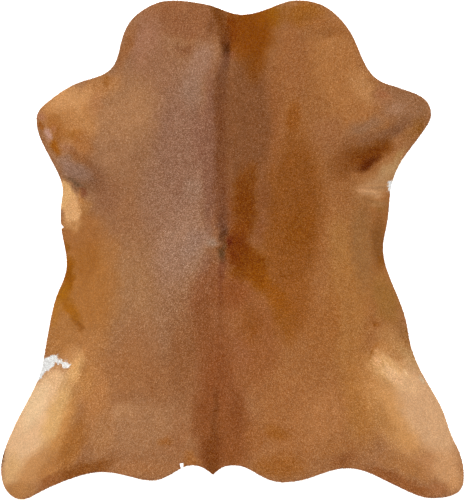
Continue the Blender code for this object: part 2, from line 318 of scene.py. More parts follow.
# Colours of the coat, painted one over another: the middle of each soft oval, half its length along the
# heading and half its width across, the share of it that is fully painted, how strongly, and its colour.
# Some zones paint light and shade rather than the coat's own colour: sheen on the left side, back and neck,
# shade on the armpit folds and in creases, and highlights on ridges. A comment above each says which.
Zone = namedtuple("Zone", "name x y along across heading core strength colour")
COAT_COLOUR = "#a06c45"
COAT_AND_LIGHT_ZONES = (
    # left_side is greyer than right_side: painted sheen over the left half of the coat.
    Zone("left_side", -190, 60, 520, 215, 90, 0.55, 1.0, "#9d6e4c"),
    Zone("right_side", 170, 20, 540, 215, 90, 0.6, 1.0, "#a06738"),
    Zone("left_crown", -100, 470, 120, 60, -4, 0.3, 1.0, "#99623d"),
    Zone("left_nape_brown", -88, 436, 64, 30, -8, 0.2, 0.8, "#98613e"),
    Zone("left_nape_dark", -43, 442, 42, 18, 84, 0.1, 0.8, "#85512e"),
    Zone("left_neck_side", -172, 415, 84, 52, 80, 0.2, 0.9, "#a67357"),
    Zone("left_neck_edge", -211, 402, 66, 17, 70, 0.2, 0.9, "#9a6137"),
    Zone("left_neck_middle", -140, 350, 90, 60, 90, 0.2, 0.9, "#9c6c4d"),
    Zone("left_shoulder", -220, 275, 120, 90, 10, 0.3, 1.0, "#ae7c54"),
    Zone("left_shoulder_top", -262, 325, 62, 34, 20, 0.3, 0.9, "#b47b49"),
    Zone("left_shoulder_tan", -270, 294, 36, 18, 80, 0.2, 0.8, "#bb7f51"),
    Zone("left_shoulder_low", -235, 190, 60, 50, 90, 0.1, 0.7, "#a97853"),
    Zone("left_ribs", -215, 70, 130, 60, 90, 0.3, 0.9, "#9d6b47"),
    Zone("left_ribs_front", -245, 100, 50, 40, 70, 0.1, 0.7, "#966445"),
    Zone("left_belly", -205, -90, 150, 80, 90, 0.3, 0.9, "#a87850"),
    Zone("left_flank", -310, -90, 200, 104, 86, 0.5, 1.0, "#ae723b"),
    Zone("left_flank_top", -300, 32, 62, 62, 0, 0.4, 0.9, "#a66b3a"),
    Zone("left_flank_inner", -288, -22, 60, 38, 80, 0.3, 0.8, "#a3662e"),
    Zone("left_side_orange", -240, 0, 50, 34, 90, 0.1, 0.6, "#ae7543"),
    Zone("left_flank_far", -345, -165, 80, 50, 80, 0.3, 0.8, "#b07743"),
    Zone("left_flank_low", -285, -205, 80, 55, 90, 0.3, 0.9, "#b37a48"),
    Zone("left_loin_far", -190, -200, 110, 60, 85, 0.2, 0.9, "#a16c45"),
    Zone("left_haunch", -215, -245, 100, 70, 80, 0.2, 0.8, "#a66d40"),
    Zone("left_loin_near", -150, -265, 90, 50, 88, 0.2, 0.8, "#9e663c"),
    # From left_back to left_neck_sheen_low, the pale pinkish-grey zones are painted sheen on the hair of the
    # left back and neck.
    Zone("left_back", -100, 180, 220, 78, 90, 0.4, 1.0, "#976b52"),
    Zone("left_back_outer_sheen", -150, 100, 110, 50, 90, 0.3, 0.8, "#9a6e53"),
    Zone("left_back_pale", -105, 5, 115, 66, 72, 0.3, 0.95, "#a2785e"),
    Zone("left_back_palest_sheen", -80, 5, 56, 36, 60, 0.1, 0.6, "#9d7a65"),
    Zone("left_sheen_spot", -78, 118, 40, 32, 90, 0.1, 0.7, "#9d7760"),
    Zone("left_neck_sheen", -62, 372, 64, 42, 70, 0.25, 0.95, "#a3785f"),
    Zone("left_nape_shade", -94, 400, 28, 16, 10, 0.1, 0.8, "#8c5837"),
    Zone("left_neck_sheen_low", -80, 318, 60, 34, 95, 0.2, 0.8, "#9b755f"),
    Zone("left_spine_side_low", -62, 225, 80, 32, 90, 0.2, 0.8, "#8f6049"),
    Zone("left_spine_side", -42, 190, 215, 22, 90, 0.5, 0.95, "#8b5c44"),
    Zone("spine_middle", -8, 50, 130, 36, 90, 0.3, 1.0, "#8c532d"),
    Zone("loin_diagonal", -50, -74, 96, 42, 62, 0.3, 0.95, "#8f5632"),
    Zone("loin_diagonal_top", -53, -28, 42, 18, 62, 0.1, 0.7, "#8a5b42"),
    Zone("loin_top", 6, -88, 64, 62, 0, 0.2, 1.0, "#8f5026"),
    Zone("loin_middle", -28, -255, 215, 72, 89, 0.15, 1.0, "#8b4e26"),
    Zone("loin_left_edge", -62, -150, 90, 36, 80, 0.2, 0.6, "#854920"),
    Zone("loin_left_outer", -100, -216, 134, 42, 88, 0.2, 0.85, "#915a32"),
    Zone("rump_middle", -10, -372, 92, 78, 90, 0.3, 1.0, "#8d5127"),
    Zone("rump_left_red", -60, -330, 70, 28, 85, 0.2, 0.7, "#874a21"),
    Zone("rump_left_near", -112, -370, 60, 34, 80, 0.2, 0.8, "#9f673f"),
    Zone("left_rump", -185, -352, 105, 70, 10, 0.35, 1.0, "#a97750"),
    Zone("left_rump_top", -222, -322, 44, 30, 20, 0.1, 0.8, "#ba875c"),
    Zone("left_hem", -180, -436, 90, 22, 0, 0.2, 0.75, "#af7548"),
    Zone("left_rump_spot", -132, -379, 24, 13, 10, 0.2, 0.8, "#9b5e2a"),
    Zone("left_thigh", -272, -290, 90, 46, 82, 0.3, 1.0, "#b57a48"),
    Zone("left_thigh_top", -292, -262, 50, 30, 80, 0.2, 0.8, "#be8349"),
    Zone("left_thigh_middle", -262, -372, 60, 40, 85, 0.2, 0.8, "#b17b4d"),
    Zone("left_thigh_band", -322, -392, 90, 34, 66, 0.3, 1.0, "#a86b33"),
    Zone("left_hind_slope", -340, -345, 120, 30, 68, 0.3, 0.9, "#c88d50"),
    Zone("left_hind_tan", -396, -345, 160, 58, 65, 0.5, 1.0, "#dfb58a"),
    Zone("left_hind_top", -350, -256, 40, 28, 20, 0.3, 0.95, "#dfb486"),
    Zone("left_hind_pale", -392, -312, 70, 28, 64, 0.3, 0.9, "#e8c59a"),
    Zone("left_hind_inner", -350, -325, 100, 26, 68, 0.3, 0.85, "#d9aa6e"),
    Zone("left_hind_foot", -400, -440, 70, 36, 50, 0.3, 0.9, "#c58e59"),
    Zone("left_hind_heel_tan", -440, -440, 50, 26, 75, 0.2, 0.9, "#d2a571"),
    Zone("left_hind_toe", -425, -482, 44, 24, 10, 0.3, 0.9, "#b67f4b"),
    # left_ridge is a painted highlight along the crest of the left flank fold.
    Zone("left_ridge", -312, -238, 50, 20, 76, 0.3, 0.9, "#ddaa6e"),
    Zone("left_ridge_top", -318, -208, 30, 22, 60, 0.2, 0.7, "#c58f5c"),
    Zone("left_heel_inner", -365, -440, 40, 26, 45, 0.2, 0.9, "#b97d46"),
    Zone("left_heel", -300, -442, 90, 24, 18, 0.35, 0.95, "#8a4f1e"),
    Zone("left_heel_low", -360, -462, 40, 16, 30, 0.2, 0.9, "#9c5f32"),
    Zone("right_neck", 210, 360, 150, 70, 105, 0.4, 1.0, "#ad723f"),
    Zone("right_neck_inner", 120, 380, 120, 46, 92, 0.3, 0.95, "#a06538"),
    Zone("right_crown", 142, 470, 56, 34, 0, 0.3, 0.9, "#9f601e"),
    Zone("right_crown_low", 182, 444, 62, 30, -10, 0.3, 0.9, "#9e6434"),
    Zone("right_neck_side", 200, 408, 40, 22, 0, 0.2, 0.6, "#b37946"),
    Zone("right_shoulder", 262, 322, 60, 36, -50, 0.2, 0.9, "#b98250"),
    Zone("right_shoulder_middle", 190, 235, 60, 45, 0, 0.2, 0.8, "#a36b42"),
    Zone("right_shoulder_low", 205, 205, 60, 40, 10, 0.2, 0.8, "#9a633a"),
    Zone("right_ribs", 118, 70, 210, 82, 88, 0.5, 1.0, "#8e511c"),
    Zone("right_ribs_low", 118, -110, 90, 62, 90, 0.3, 0.9, "#94551f"),
    Zone("ribs_deep", 132, 40, 66, 42, 80, 0.2, 0.8, "#88490c"),
    Zone("ribs_streak", 120, 262, 46, 20, 84, 0.3, 0.85, "#945218"),
    Zone("spine_right_outer", 78, 260, 170, 38, 90, 0.2, 0.8, "#985d32"),
    Zone("right_side_far", 228, -110, 200, 58, 91, 0.4, 1.0, "#a66e39"),
    Zone("right_side_inner", 200, -130, 70, 24, 92, 0.2, 0.8, "#a06430"),
    Zone("right_side_top", 212, 20, 80, 34, 92, 0.2, 0.8, "#a5703b"),
    Zone("right_girth_inner", 258, 10, 130, 34, 94, 0.3, 0.9, "#96673b"),
    Zone("right_girth", 292, 15, 70, 22, 92, 0.3, 0.9, "#815126"),
    Zone("right_waist", 297, -22, 22, 12, 100, 0.1, 0.8, "#874f19"),
    Zone("right_flank", 306, -100, 80, 36, 108, 0.3, 0.95, "#9b6a35"),
    Zone("right_flank_spot", 285, -145, 14, 9, 0, 0.1, 0.8, "#8c4f18"),
    Zone("right_stifle", 325, -190, 60, 40, -45, 0.2, 0.9, "#b5814d"),
    Zone("right_flank_bright", 358, -224, 52, 26, -58, 0.2, 0.9, "#b78d5b"),
    Zone("right_flank_edge", 343, -168, 38, 14, -75, 0.2, 0.85, "#956435"),
    Zone("right_stifle_top", 299, -190, 26, 20, 0, 0.1, 0.8, "#b57c46"),
    Zone("right_thigh", 258, -300, 130, 60, 95, 0.3, 1.0, "#ab7139"),
    Zone("right_thigh_top", 272, -246, 62, 40, 80, 0.2, 0.8, "#b37841"),
    Zone("right_loin", 50, -190, 130, 62, 88, 0.4, 1.0, "#975b2f"),
    Zone("right_loin_far", 180, -165, 90, 46, 90, 0.2, 0.8, "#9e622f"),
    Zone("loin_pink", 18, -205, 60, 26, 95, 0.2, 0.7, "#965c37"),
    Zone("loin_deep", 38, -150, 58, 34, 95, 0.1, 0.8, "#8c4e1c"),
    Zone("loin_deep_far", 102, -135, 72, 34, 100, 0.2, 0.8, "#915318"),
    Zone("right_rump", 115, -340, 130, 84, 92, 0.45, 1.0, "#a4693a"),
    Zone("right_rump_far", 180, -335, 90, 62, 70, 0.3, 0.9, "#ae7343"),
    Zone("right_rump_low", 215, -395, 60, 36, 0, 0.2, 0.8, "#a46a3a"),
    Zone("rump_spot", 88, -366, 38, 22, -10, 0.2, 0.9, "#9a5a1f"),
    Zone("rump_right_near", 46, -375, 56, 30, 88, 0.2, 0.85, "#9f6232"),
    Zone("right_lobe", 92, -432, 74, 36, 0, 0.3, 0.9, "#9f6028"),
    Zone("loin_dark", 10, -318, 66, 30, 86, 0.1, 0.6, "#81441c"),
    Zone("tail", -42, -410, 58, 38, 84, 0.15, 0.9, "#7d4119"),
    Zone("tail_right", 6, -412, 42, 30, 0, 0.1, 0.8, "#8e5125"),
    Zone("tail_left", -82, -418, 26, 18, 0, 0.1, 0.7, "#a16027"),
    Zone("right_hem", 222, -420, 44, 24, 20, 0.2, 0.9, "#91572d"),
    Zone("right_hind_slope", 330, -330, 150, 66, -66, 0.3, 1.0, "#c9925a"),
    Zone("right_hind_shade", 303, -338, 60, 22, -62, 0.2, 0.9, "#b07a45"),
    Zone("right_hind_tan", 392, -325, 140, 66, -62, 0.45, 1.0, "#cfa278"),
    Zone("right_whorl", 310, -236, 64, 38, -36, 0.25, 1.0, "#d7a770"),
    Zone("right_hind_middle", 350, -268, 46, 30, -45, 0.2, 0.8, "#dfb284"),
    Zone("right_whorl_bright", 322, -248, 40, 20, -40, 0.2, 0.8, "#e6b98c"),
    Zone("right_whorl_left", 289, -222, 20, 12, -60, 0.2, 0.6, "#dba271"),
    Zone("right_whorl_rim", 275, -208, 22, 5, 66, 0.2, 0.8, "#995c21"),
    Zone("right_whorl_rim_top", 289, -188, 18, 4, 40, 0.2, 0.6, "#a5682f"),
    # Painted light on the fine creases over the right stifle: right_whorl_fold and the right_whorl_line zones
    # are painted shade along them, and the right_whorl_gleam zones are painted highlights on their ridges.
    Zone("right_whorl_fold", 326, -212, 34, 7, -10, 0.2, 0.7, "#b07a48"),
    Zone("right_whorl_line_a", 301, -231, 12, 2.6, -70, 0.2, 0.7, "#b58348"),
    Zone("right_whorl_line_b", 314, -228, 15, 2.6, -48, 0.2, 0.6, "#bd8c55"),
    Zone("right_whorl_line_c", 291, -243, 14, 2.8, -62, 0.2, 0.6, "#c4935f"),
    Zone("right_whorl_line_d", 331, -254, 10, 2.4, -20, 0.2, 0.6, "#c08c60"),
    Zone("right_whorl_line_e", 331, -232, 16, 2.6, -44, 0.2, 0.6, "#c29566"),
    Zone("right_whorl_gleam_a", 290, -224, 8, 3, -30, 0.2, 0.8, "#e8b888"),
    Zone("right_whorl_gleam_b", 325, -238, 10, 3, -52, 0.2, 0.8, "#efcca0"),
    Zone("right_whorl_gleam_c", 343, -246, 10, 3.4, -60, 0.2, 0.8, "#f5d2a4"),
    Zone("right_whorl_gleam_d", 336, -262, 14, 3, -52, 0.2, 0.6, "#efbf90"),
    Zone("right_hind_low", 385, -430, 60, 34, -30, 0.2, 0.9, "#b57e52"),
    Zone("right_hind_foot", 430, -440, 66, 40, -60, 0.3, 0.95, "#c79466"),
    Zone("right_hind_toe", 405, -478, 50, 18, 8, 0.3, 0.9, "#a66c43"),
    Zone("right_toe_tip", 442, -468, 24, 18, 60, 0.2, 0.8, "#cc9563"),
    Zone("right_heel_top", 345, -432, 76, 28, -22, 0.3, 0.9, "#aa7242"),
    Zone("right_heel", 330, -462, 100, 18, -24, 0.4, 1.0, "#94592f"),
    Zone("right_shank", 340, 285, 80, 50, -30, 0.4, 1.0, "#976846"),
    Zone("right_shank_top", 300, 305, 30, 24, 0, 0.2, 0.8, "#a56e47"),
    Zone("right_shank_red", 300, 308, 24, 14, -10, 0.1, 0.7, "#a2653f"),
    # Painted light on the right armpit fold: right_shank_sheen is painted sheen on its crest, and
    # right_shank_shade, the right_hollow zones and right_elbow_shade are painted shade on its lower side.
    Zone("right_shank_sheen", 330, 280, 30, 18, 10, 0.2, 0.8, "#a4785a"),
    Zone("right_shank_band", 265, 245, 60, 26, 25, 0.2, 0.9, "#966b4c"),
    Zone("right_shank_shade", 322, 237, 60, 17, 30, 0.2, 0.8, "#86583a"),
    Zone("right_elbow", 365, 240, 50, 22, 55, 0.2, 0.8, "#96612f"),
    Zone("right_elbow_dark", 374, 242, 22, 10, 52, 0.1, 0.8, "#824d16"),
    Zone("right_hollow_rim", 233, 178, 68, 42, 42, 0.2, 0.9, "#854c1e"),
    Zone("right_hollow_top", 274, 220, 66, 22, 15, 0.2, 0.85, "#94623f"),
    Zone("right_hollow", 276, 191, 62, 25, 25, 0.4, 1.0, "#7c3e08"),
    Zone("right_hollow_brown", 302, 216, 18, 10, 20, 0.2, 0.7, "#8f5932"),
    Zone("right_hollow_crease", 270, 170, 38, 15, 30, 0.3, 1.0, "#602700"),
    Zone("right_elbow_tan", 312, 154, 60, 24, 48, 0.3, 1.0, "#b1885c"),
    Zone("right_elbow_shade", 318, 182, 26, 12, 40, 0.2, 0.8, "#ac7444"),
    Zone("right_elbow_pale", 335, 192, 24, 12, 50, 0.1, 0.6, "#b08c58"),
    Zone("right_armpit_tan", 284, 126, 60, 32, 16, 0.2, 0.95, "#b4855a"),
    Zone("right_armpit_pale", 264, 117, 26, 10, -5, 0.1, 0.7, "#c08c60"),
    Zone("right_armpit_low_pale", 280, 110, 30, 11, -5, 0.2, 0.8, "#c6966a"),
    Zone("right_armpit_low", 292, 92, 40, 14, -4, 0.2, 0.8, "#a6774a"),
    Zone("right_girth_low", 298, 78, 20, 10, 0, 0.1, 0.6, "#93642f"),
    Zone("left_shank", -325, 265, 84, 62, -40, 0.45, 1.0, "#c0854f"),
    Zone("left_shank_tan", -322, 302, 62, 34, 15, 0.35, 1.0, "#c9925e"),
    Zone("left_shank_inner", -298, 258, 42, 20, -45, 0.2, 0.7, "#c48a54"),
    Zone("left_shank_ridge", -308, 285, 34, 12, -62, 0.2, 0.8, "#cd9560"),
    Zone("left_shank_orange", -350, 240, 48, 27, -68, 0.2, 0.9, "#a5662e"),
    Zone("left_shank_olive", -313, 230, 24, 18, -20, 0.1, 0.8, "#975910"),
    Zone("left_shank_deep", -352, 205, 28, 13, -62, 0.2, 0.9, "#9d560a"),
    Zone("left_shank_toe", -380, 266, 18, 16, 0, 0.2, 0.8, "#b27655"),
    # left_shank_grey_highlight is a painted pinkish highlight on the left shank's roll.
    Zone("left_shank_grey_highlight", -368, 230, 17, 13, -60, 0.15, 0.95, "#c29583"),
    Zone("left_shank_spot", -354, 241, 10, 8, 0, 0.1, 0.6, "#b5775c"),
    Zone("left_forearm", -300, 215, 50, 30, -50, 0.2, 0.8, "#ac6e3a"),
    Zone("left_armpit_top", -328, 201, 30, 11, -30, 0.1, 0.7, "#a6704f"),
    Zone("left_armpit_brown", -304, 184, 38, 16, -32, 0.2, 0.8, "#925a2f"),
    # Painted light on the left armpit fold: left_armpit_shade, left_armpit_lip and left_armpit_lip_dark are
    # painted shade round the fold and under its lip, and left_armpit_lilac_sheen is painted sheen on its top.
    Zone("left_armpit_shade", -270, 140, 56, 34, -60, 0.2, 0.85, "#8d5c3d"),
    Zone("left_armpit_lilac_sheen", -312, 158, 58, 23, -28, 0.3, 1.0, "#97715c"),
    Zone("left_armpit_tan", -328, 100, 54, 20, 112, 0.6, 1.0, "#dcab72"),
    Zone("left_armpit_tan_low", -317, 78, 36, 23, 70, 0.5, 1.0, "#daa671"),
    Zone("left_armpit_low_tan", -292, 84, 30, 17, 80, 0.2, 0.8, "#b37c48"),
    Zone("left_armpit_low_orange", -300, 104, 20, 9, -60, 0.2, 0.7, "#c08347"),
    Zone("left_armpit_lip", -312, 134, 34, 9, -32, 0.2, 1.0, "#74533a"),
    Zone("left_armpit_lip_dark", -297, 116, 14, 9, -40, 0.1, 0.8, "#864a2e"),
    Zone("left_girth_tan", -320, 48, 34, 16, 0, 0.2, 0.9, "#c38d59"),
    Zone("left_girth_dark", -328, 9, 14, 11, 60, 0.1, 0.8, "#8f5312"),
    Zone("left_waist_orange", -325, -48, 52, 18, 92, 0.3, 1.0, "#96550d"),
    Zone("left_waist_low", -338, -88, 34, 17, 60, 0.2, 0.85, "#a3630e"),
    Zone("left_belly_orange", -320, -120, 48, 19, -62, 0.2, 0.9, "#a26117"),
    Zone("left_belly_edge", -350, -122, 40, 15, 76, 0.2, 0.7, "#b2742d"),
    Zone("left_belly_spot", -306, -149, 20, 9, -42, 0.2, 0.8, "#985a23"),
    Zone("spine_right", 26, 250, 195, 66, 90, 0.5, 1.0, "#86532f"),
    Zone("spine_right_low", 42, 90, 110, 44, 90, 0.5, 0.9, "#8e572f"),
    Zone("nape_top", 57, 466, 74, 34, 6, 0.3, 1.0, "#97580d"),
    Zone("nape_deep", 34, 430, 68, 64, 90, 0.45, 1.0, "#884609"),
    Zone("nape_right_top", 58, 460, 30, 16, 80, 0.2, 0.85, "#96520b"),
    Zone("nape_corner", 106, 470, 26, 16, 0, 0.2, 0.85, "#a46832"),
    Zone("nape_deep_low", 46, 370, 54, 32, 80, 0.15, 0.9, "#84460e"),
    Zone("nape_deepest", -3, 434, 58, 17, 90, 0.3, 0.95, "#803b00"),
    Zone("neck_right_pink", 0, 388, 14, 9, 0, 0.1, 0.5, "#945537"),
    Zone("spine_right_deep", 24, 92, 84, 33, 92, 0.35, 1.0, "#7c3d04"),
    Zone("spine_right_deep_top", 36, 148, 36, 22, 75, 0.3, 0.8, "#82450f"),
    Zone("withers_link", 18, 42, 32, 27, 90, 0.3, 0.9, "#803f08"),
    Zone("withers_deep", 14, -4, 56, 34, -70, 0.35, 1.0, "#743200"),
    Zone("withers_right", 41, -24, 52, 33, -50, 0.3, 1.0, "#7e3e00"),
    Zone("diagonal_deep", 54, -58, 46, 26, -50, 0.25, 0.95, "#8b4800"),
    Zone("diagonal_low", 84, -92, 58, 28, -45, 0.15, 0.9, "#955210"),
    Zone("withers_low", 14, -46, 34, 26, 0, 0.1, 0.85, "#7d3e00"),
    Zone("withers_red", -7, 14, 16, 9, 90, 0.2, 0.9, "#601c00"),
    Zone("gap_pink", 55, 42, 36, 15, 80, 0.15, 0.8, "#8b522b"),
    Zone("gap_red", 62, 105, 40, 16, 90, 0.1, 0.7, "#874e25"),
    # whorl_pale_side and whorl_pale are painted sheen: the pale, lit side of the spine's ridge at the whorl.
    Zone("whorl_pale_side", -62, 24, 50, 30, 20, 0.1, 0.7, "#9e7762"),
    Zone("whorl_pale", -38, 15, 20, 14, 15, 0.1, 0.8, "#a1836f"),
    Zone("left_neck_corner", -250, 338, 18, 9, 85, 0.2, 0.85, "#9d622c"),
    Zone("left_shank_edge", -381, 243, 13, 7, -68, 0.3, 0.9, "#9a5313"),
)

# The dark parting down the spine, from neck to tail, partly the darker hair of the parting and partly
# painted shade in the crease along the spine's ridge: where it is at each y, how far each side it has faded
# out, how strong it is and its colour there. Its core is the share of its width that doesn't fade.
PARTING_CORE = 0.2
Parting = namedtuple("Parting", "name y x half strength colour")
PARTING = (
    Parting("neck_edge", 484, -33, 20, 0.9, "#743f12"),
    Parting("nape", 450, -20, 20, 0.9, "#773f13"),
    Parting("nape_low", 418, -15, 20, 0.9, "#6f3b18"),
    Parting("crease", 400, -12, 15, 1.0, "#542708"),
    Parting("neck_top", 382, -15, 19, 0.9, "#75472f"),
    Parting("neck", 357, -21, 20, 0.9, "#784a2e"),
    Parting("neck_low", 318, -23, 21, 0.95, "#764526"),
    Parting("shoulder_top", 292, -25, 21, 0.95, "#764425"),
    Parting("shoulder", 256, -23.5, 21, 0.9, "#7b4726"),
    Parting("shoulder_low", 200, -23, 20, 0.95, "#774525"),
    Parting("back_top", 168, -22.5, 21, 0.9, "#7b4726"),
    Parting("back", 108, -22, 19, 0.9, "#7c492b"),
    Parting("withers_top", 76, -21, 18, 0.9, "#7b492c"),
    Parting("withers", 50, -19, 16, 0.9, "#6e432d"),
    Parting("withers_low", 34, -18, 13, 1.0, "#5c341c"),
    Parting("whorl", 14, -19, 8, 0.7, "#6e4424"),
    Parting("whorl_low", -6, -21, 11, 0.9, "#59391b"),
    Parting("loin_start", -26, -22, 11, 0.7, "#743d24"),
    Parting("loin_top", -62, -21.5, 8, 0.6, "#7c4022"),
    Parting("loin_fade", -100, -23, 7, 0.5, "#7c421f"),
    Parting("loin_faint", -145, -25, 6, 0.2, "#7d4422"),
    Parting("loin", -230, -28, 6, 0.1, "#7d4422"),
    Parting("rump_top", -300, -33, 8, 0.55, "#743f1a"),
    Parting("rump", -346, -35, 9, 0.6, "#723d18"),
    Parting("tail_top", -398, -40, 17, 0.5, "#773e12"),
    Parting("tail", -450, -38, 17, 0.6, "#733c10"),
)

# Marks at the edges, painted over the rest: patches of white hair, a pale spot and a dark sliver
MARKS = (
    Zone("left_white_root", -370, -229, 26, 12, 36, 0.9, 1.0, "#e4e3e0"),
    Zone("left_white_lobe", -356, -217, 10, 8, 20, 0.9, 1.0, "#e4e3e0"),
    Zone("left_white_neck", -344, -222, 13, 5, -24, 0.9, 1.0, "#e8e6e2"),
    Zone("left_white_tip", -330, -229, 8, 6.5, 0, 0.9, 1.0, "#efede9"),
    Zone("left_white_tail", -381, -246, 18, 6, 60, 0.9, 1.0, "#e4e3e0"),
    Zone("right_white", 319, 124, 15, 10, 86, 0.85, 1.0, "#e6e6e4"),
    Zone("right_stifle_pale", 378, -258, 14, 6, -50, 0.2, 0.7, "#cbb596"),
    Zone("left_hind_sliver", -458, -416, 25, 4.5, 78, 0.3, 0.9, "#63402c"),
)

# How strongly single hairs stand out from their neighbours: 1 is usual, and less is a smoother coat
Grain = namedtuple("Grain", "name x y along across heading core contrast")
GRAINS = (
    Grain("left_back", -95, 90, 430, 110, 90, 0.3, 1.4),
    Grain("left_flank", -305, -60, 210, 100, 88, 0.3, 0.5),
    Grain("right_flank", 290, -30, 160, 90, 95, 0.3, 0.55),
    Grain("nape", 60, 430, 90, 70, 90, 0.3, 0.6),
    Grain("left_hind", -410, -390, 180, 100, 65, 0.4, 0.35),
    Grain("right_hind", 385, -350, 180, 100, -62, 0.4, 0.5),
    Grain("left_shank", -325, 290, 90, 60, -20, 0.3, 0.7),
    Grain("right_armpit", 300, 130, 80, 60, 40, 0.3, 0.6),
)

# The light that brown hair throws back is warm
GLOSS_COLOUR = "#c98a50"

# The floor, and the light in it and round it
FLOOR_COLOUR = "#fbfbfa"
WHITE = (1, 1, 1, 1)


def direction(heading):
    """A unit vector at that many degrees from +X."""
    turn = math.radians(heading)
    return Vector((math.cos(turn), math.sin(turn)))


def span(start, end, count):
    """Points along the outline from just after one landmark to the next, on a curve close to an arc."""
    leaving = start.heading if start.leaving is None else start.leaving
    turn = math.radians((end.heading - leaving + 180) % 360 - 180)
    a = Vector((start.x, start.y))
    d = Vector((end.x, end.y))
    handle = (d - a).length / (3 * math.cos(turn / 4) ** 2)
    b = a + direction(leaving) * handle
    c = d - direction(end.heading) * handle
    points = []
    for i in range(1, count + 1):
        t = i / count
        s = 1 - t
        points.append(a * s**3 + b * 3 * s * s * t + c * 3 * s * t * t + d * t**3)
    return points


def whole_steps(lengths, total):
    """Whole steps for each length, at least one each, which add up to total."""
    whole = sum(lengths)
    stops = [0]
    reached = 0
    for i, length in enumerate(lengths):
        reached += length
        spans_left = len(lengths) - 1 - i
        stop = max(round(reached / whole * total), stops[-1] + 1)
        stops.append(min(stop, total - spans_left))
    return [b - a for a, b in zip(stops, stops[1:])]


def edge_points(landmarks):
    """One edge of the skin in even steps, with a point on every landmark."""
    pairs = list(zip(landmarks, landmarks[1:]))
    lengths = [math.dist((a.x, a.y), (b.x, b.y)) for a, b in pairs]
    points = [Vector((landmarks[0].x, landmarks[0].y))]
    for (start, end), count in zip(pairs, whole_steps(lengths, SQUARES)):
        points += span(start, end, count)
    return points


def place_in_outline(edges, i, j):
    """Where corner i, j of a square net lies once the net is fitted smoothly into the four edges."""
    hind, neck, left, right = edges
    u = i / SQUARES
    v = j / SQUARES
    between_ends = hind[i] * (1 - v) + neck[i] * v
    between_sides = left[j] * (1 - u) + right[j] * u
    near = hind[0] * (1 - u) + hind[-1] * u
    far = neck[0] * (1 - u) + neck[-1] * u
    return between_ends + between_sides - near * (1 - v) - far * v


def lift(x, y):
    """How high the skin's underside is off the floor at arrays of places."""
    height = np.zeros_like(x)
    for fold in FOLDS + CREASES:
        forwards = direction(fold.heading)
        away_x = x - fold.x
        away_y = y - fold.y
        ahead = away_x * forwards.x + away_y * forwards.y
        rightwards = away_x * forwards.y - away_y * forwards.x
        reach = np.where(rightwards > 0, fold.right, fold.left)
        inside = 1 - (ahead / fold.along) ** 2 - (rightwards / reach) ** 2
        height += fold.height * np.maximum(inside, 0) ** 2
    return height


def new_piece(name, bm):
    """A scene object that holds the given mesh."""
    mesh = bpy.data.meshes.new(name)
    bm.to_mesh(mesh)
    bm.free()
    made = bpy.data.objects.new(name, mesh)
    bpy.context.scene.collection.objects.link(made)
    return made


def fitted_net():
    """A flat net of squares inside the outline, evened out away from its edges, and its corners in order."""
    bm = bmesh.new()
    bmesh.ops.create_grid(bm, x_segments=SQUARES, y_segments=SQUARES, size=0.5)
    edges = [edge_points(edge) for edge in (HIND_EDGE, NECK_EDGE, LEFT_EDGE, RIGHT_EDGE)]
    corners = {}
    for vert in bm.verts:
        i = round((vert.co.x + 0.5) * SQUARES)
        j = round((vert.co.y + 0.5) * SQUARES)
        vert.co = place_in_outline(edges, i, j).to_3d()
        corners[i, j] = vert
    inner = [vert for vert in bm.verts if not vert.is_boundary]
    for _ in range(EVENING_PASSES):
        bmesh.ops.smooth_vert(bm, verts=inner, factor=EVENING_STEP, use_axis_x=True, use_axis_y=True)
    net = np.zeros((SQUARES + 1, SQUARES + 1, 2))
    for (i, j), vert in corners.items():
        net[i, j] = vert.co.x, vert.co.y
    return bm, net


def cutter(nick):
    """A tapered wedge that cuts one nick out of the skin's edge. It is removed after the cut."""
    inwards = direction(nick.heading)
    sideways = Vector((-inwards.y, inwards.x))
    mouth = Vector((nick.x, nick.y))
    flare = (nick.mouth - nick.end) / nick.depth
    corners = ((-WEDGE_REACH, nick.mouth + flare * WEDGE_REACH), (nick.depth, nick.end))
    bm = bmesh.new()
    ring = []
    for side, rows in ((1, corners), (-1, corners[::-1])):
        for deep, wide in rows:
            place = mouth + inwards * deep + sideways * (side * wide / 2)
            ring.append(bm.verts.new((place.x * MM, place.y * MM, -WEDGE_DROP * MM)))
    floor = bm.faces.new(ring)
    made = bmesh.ops.extrude_face_region(bm, geom=[floor])["geom"]
    tops = [item for item in made if isinstance(item, bmesh.types.BMVert)]
    bmesh.ops.translate(bm, verts=tops, vec=(0, 0, WEDGE_HEIGHT * MM))
    bmesh.ops.recalc_face_normals(bm, faces=bm.faces)
    return new_piece(nick.name, bm)


def red_green_blue(colour):
    """The three parts of an sRGB hex colour, each from 0 to 1."""
    return np.array([int(colour[i : i + 2], 16) / 255 for i in (1, 3, 5)])


def linear(colour):
    """An sRGB hex colour, or an array of sRGB values, as Blender's linear ones with an alpha of 1."""
    parts = red_green_blue(colour) if isinstance(colour, str) else np.clip(colour, 0, 1)
    even = np.where(parts <= 0.04045, parts / 12.92, ((parts + 0.055) / 1.055) ** 2.4)
    return np.insert(even, 3, 1, axis=-1)


def node(tree, kind, inputs=None, **settings):
    """Adds a node. inputs gives a socket's name or number a value, or the output that feeds it."""
    made = tree.nodes.new(kind)
    for name, value in settings.items():
        setattr(made, name, value)
    for key, value in (inputs or {}).items():
        if isinstance(value, bpy.types.NodeSocket):
            tree.links.new(value, made.inputs[key])
        else:
            made.inputs[key].default_value = value
    return made


